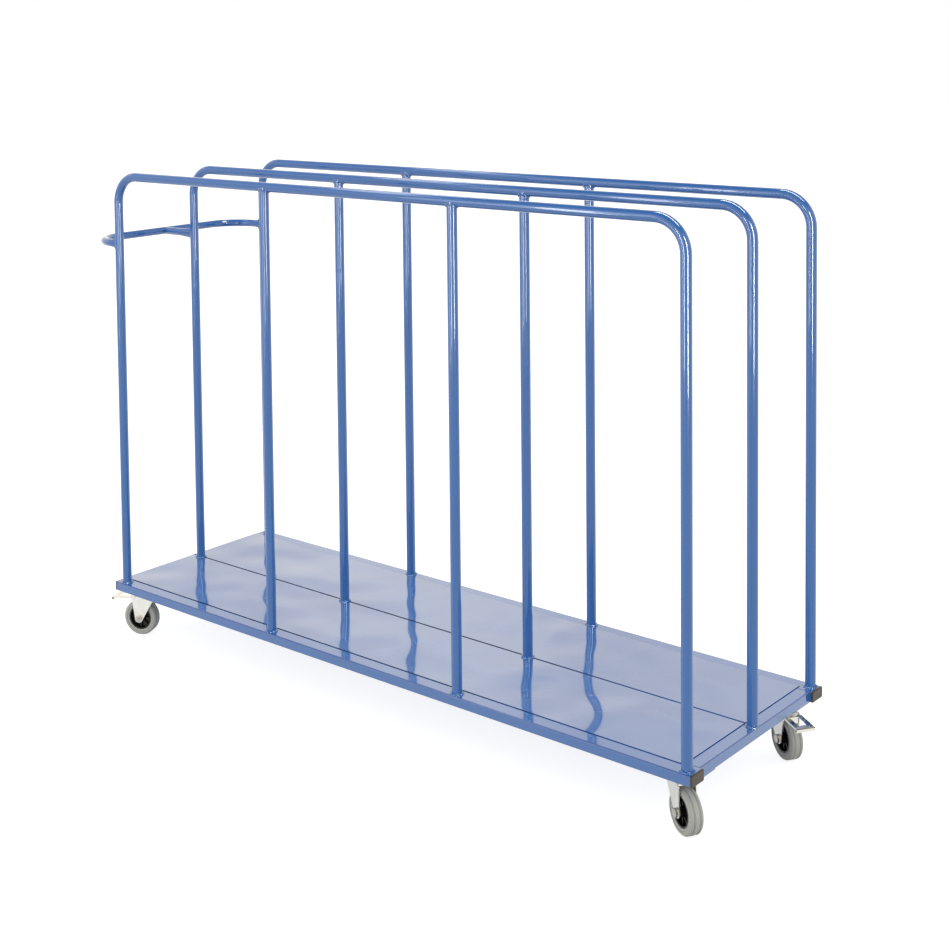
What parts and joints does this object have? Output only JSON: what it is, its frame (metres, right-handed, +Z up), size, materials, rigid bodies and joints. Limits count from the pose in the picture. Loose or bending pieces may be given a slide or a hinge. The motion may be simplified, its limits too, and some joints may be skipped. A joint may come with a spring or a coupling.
{
  "type": "mat trolley",
  "caption": "Long low trolley with a row of tall tubular hoops over a sheet deck to hold mats or boards on edge, a push handle at one end and swivel casters, some braked.",
  "frame": {"origin": "middle of the deck's top face, on the middle hoop's plane, midway between the end posts", "axes": "+X along the length away from the push handle, +Y across to the back, +Z up from the deck"},
  "size_m": [2.0347, 0.6053, 1.3387],
  "materials": {
    "blue_paint": "gloss powder coat",
    "deck_paint": "gloss powder coat",
    "cap_plastic": "matte",
    "zinc_plate": "bright zinc",
    "bright_steel": "plain",
    "tyre_rubber": "matte grey",
    "hub_plastic": "gloss"
  },
  "bodies": {
    "frame": {"front_rail": "blue_paint", "back_rail": "blue_paint", "centre_rail": "blue_paint", "left_end_rail": "blue_paint", "right_end_rail": "blue_paint", "cross_members": "blue_paint", "hoop_front": "blue_paint", "hoop_middle": "blue_paint", "hoop_back": "blue_paint", "post_front_left": "blue_paint", "post_front_right": "blue_paint", "post_middle_left": "blue_paint", "post_middle_right": "blue_paint", "post_back_left": "blue_paint", "post_back_right": "blue_paint", "handle_tube": "blue_paint", "handle_stub": "blue_paint", "foot_welds": "blue_paint", "top_welds": "blue_paint", "handle_welds": "blue_paint", "caster_pads": "blue_paint", "deck_sheet_front": "deck_paint", "deck_sheet_back": "deck_paint", "rail_end_caps": "cap_plastic", "fixing_bolts": "zinc_plate", "fixing_washers": "zinc_plate", "king_pins": "bright_steel", "caster_plate_front_left": "zinc_plate", "caster_plate_front_right": "zinc_plate", "caster_plate_back_left": "zinc_plate", "caster_plate_back_right": "zinc_plate"},
    "fork_front_left": {"fork_front_left": "zinc_plate", "axle_front_left": "zinc_plate", "bush_front_left": "bright_steel", "swivel_balls_front_left": "bright_steel", "brake_pin_front_left": "zinc_plate"},
    "wheel_front_left": {"hub_front_left": "hub_plastic", "tyre_front_left": "tyre_rubber"},
    "pedal_front_left": {"brake_pedal_front_left": "zinc_plate"},
    "fork_front_right": {"fork_front_right": "zinc_plate", "axle_front_right": "zinc_plate", "bush_front_right": "bright_steel", "swivel_balls_front_right": "bright_steel"},
    "wheel_front_right": {"hub_front_right": "hub_plastic", "tyre_front_right": "tyre_rubber"},
    "fork_back_left": {"fork_back_left": "zinc_plate", "axle_back_left": "zinc_plate", "bush_back_left": "bright_steel", "swivel_balls_back_left": "bright_steel"},
    "wheel_back_left": {"hub_back_left": "hub_plastic", "tyre_back_left": "tyre_rubber"},
    "fork_back_right": {"fork_back_right": "zinc_plate", "axle_back_right": "zinc_plate", "bush_back_right": "bright_steel", "swivel_balls_back_right": "bright_steel", "brake_pin_back_right": "zinc_plate"},
    "wheel_back_right": {"hub_back_right": "hub_plastic", "tyre_back_right": "tyre_rubber"},
    "pedal_back_right": {"brake_pedal_back_right": "zinc_plate"}
  },
  "joints": [
    {"name": "swivel_front_left", "type": "hinge", "parent": "frame", "child": "fork_front_left", "pos_m": [-0.859, -0.232, -0.0395], "axis": [0, 0, 1], "continuous": true},
    {"name": "roll_front_left", "type": "hinge", "parent": "fork_front_left", "child": "wheel_front_left", "pos_m": [-0.89582, -0.24763, -0.1065], "axis": [0.3907, -0.9205, 0], "continuous": true},
    {"name": "brake_front_left", "type": "hinge", "parent": "fork_front_left", "child": "pedal_front_left", "pos_m": [-0.90871, -0.2531, -0.0505], "axis": [0.3907, -0.9205, 0], "range_deg": [0, 8.5]},
    {"name": "swivel_front_right", "type": "hinge", "parent": "frame", "child": "fork_front_right", "pos_m": [0.859, -0.232, -0.0395], "axis": [0, 0, 1], "continuous": true},
    {"name": "roll_front_right", "type": "hinge", "parent": "fork_front_right", "child": "wheel_front_right", "pos_m": [0.89364, -0.252, -0.1065], "axis": [0.5, 0.866, 0], "continuous": true},
    {"name": "swivel_back_left", "type": "hinge", "parent": "frame", "child": "fork_back_left", "pos_m": [-0.859, 0.232, -0.0395], "axis": [0, 0, 1], "continuous": true},
    {"name": "roll_back_left", "type": "hinge", "parent": "fork_back_left", "child": "wheel_back_left", "pos_m": [-0.89609, 0.24698, -0.1065], "axis": [-0.3746, -0.9272, 0], "continuous": true},
    {"name": "swivel_back_right", "type": "hinge", "parent": "frame", "child": "fork_back_right", "pos_m": [0.859, 0.232, -0.0395], "axis": [0, 0, 1], "continuous": true},
    {"name": "roll_back_right", "type": "hinge", "parent": "fork_back_right", "child": "wheel_back_right", "pos_m": [0.89255, 0.21021, -0.1065], "axis": [0.5446, 0.8387, 0], "continuous": true},
    {"name": "brake_back_right", "type": "hinge", "parent": "fork_back_right", "child": "pedal_back_right", "pos_m": [0.90429, 0.20259, -0.0505], "axis": [0.5446, 0.8387, 0], "range_deg": [0, 8.5]}
  ]
}
